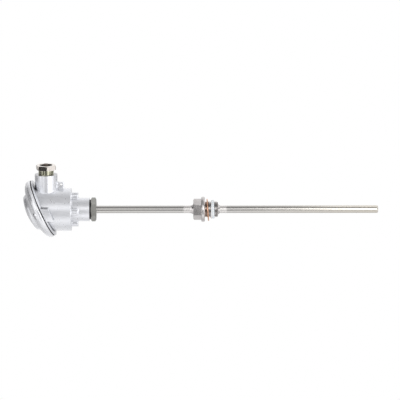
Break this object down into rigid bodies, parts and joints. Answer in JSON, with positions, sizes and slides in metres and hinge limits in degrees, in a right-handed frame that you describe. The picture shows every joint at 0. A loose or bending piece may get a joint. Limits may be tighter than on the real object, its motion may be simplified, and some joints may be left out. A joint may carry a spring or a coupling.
{
  "type": "rtd temperature probe with connection head",
  "caption": "Straight resistance thermometer with a screw-in process fitting, extension neck and a die-cast connection head with slanted cover and cable gland.",
  "frame": {"origin": "centre of the flange face of the process fitting that seals against the vessel, on the stem's axis", "axes": "+Z along the stem toward the connection head, +X along the cable gland, +Y completes the right-handed frame"},
  "size_m": [0.0964, 0.079, 0.4608],
  "materials": {
    "fitting_steel": "turned stainless steel",
    "tube_steel": "drawn stainless tube, bright where it was cleaned after welding",
    "copper": "copper, slightly tarnished",
    "white_plastic": "white plastic, translucent",
    "collar_steel": "dull plated steel",
    "black_rubber": "flat black gasket",
    "head_casting": "silver painted die casting",
    "cover_casting": "silver painted die casting",
    "screw_steel": "plated steel",
    "nickel_brass": "nickel plated brass",
    "plug_plastic": "grey-brown plastic",
    "insert_steel": "stainless steel",
    "oxide": "packed powder",
    "resin": "poured resin",
    "ceramic_white": "unglazed steatite",
    "brass": "bright brass",
    "wire_copper": "bare copper wire",
    "spring_steel": "spring steel"
  },
  "bodies": {
    "probe": {"process_fitting": "fitting_steel", "protection_tube": "tube_steel", "copper_washer": "copper", "retaining_ring": "white_plastic", "neck_adapter": "collar_steel", "neck_gasket": "black_rubber", "head_body": "head_casting", "cover_gasket": "black_rubber", "gland_washer": "insert_steel", "gland_seal": "black_rubber", "gland_plug": "plug_plastic", "insert_screws": "screw_steel", "insert_springs": "spring_steel"},
    "cover": {"head_cover": "cover_casting", "screw_retainers": "black_rubber"},
    "front_screw": {"cover_screw_front": "screw_steel"},
    "back_screw": {"cover_screw_back": "screw_steel"},
    "pressure_screw": {"gland_screw": "nickel_brass"},
    "insert": {"insert_plate": "insert_steel", "insert_collar": "insert_steel", "insert_sheath": "insert_steel", "insert_filling": "oxide", "insert_seal": "resin", "sensing_element": "ceramic_white", "lead_wires": "wire_copper", "terminal_block": "ceramic_white", "terminals": "brass", "terminal_screws": "screw_steel", "block_screws": "screw_steel"}
  },
  "joints": [
    {"name": "cover_lift", "type": "slide", "parent": "probe", "child": "cover", "axis": [-0.4083, 0, 0.9128], "range_m": [0, 0.05]},
    {"name": "front_screw_turn", "type": "hinge", "parent": "cover", "child": "front_screw", "pos_m": [0.002, -0.0334, 0.2106], "axis": [-0.4083, 0, 0.9128], "continuous": true},
    {"name": "back_screw_turn", "type": "hinge", "parent": "cover", "child": "back_screw", "pos_m": [0.002, 0.0334, 0.2106], "axis": [-0.4083, 0, 0.9128], "continuous": true},
    {"name": "pressure_screw_turn", "type": "hinge", "parent": "probe", "child": "pressure_screw", "pos_m": [0.0468, 0, 0.2058], "axis": [1, 0, 0], "continuous": true},
    {"name": "insert_push", "type": "slide", "parent": "probe", "child": "insert", "axis": [0, 0, 1], "range_m": [0, 0.008], "stiffness_N_per_m": 2000, "springref_m": -0.01, "deforming": ["insert_springs"]}
  ]
}
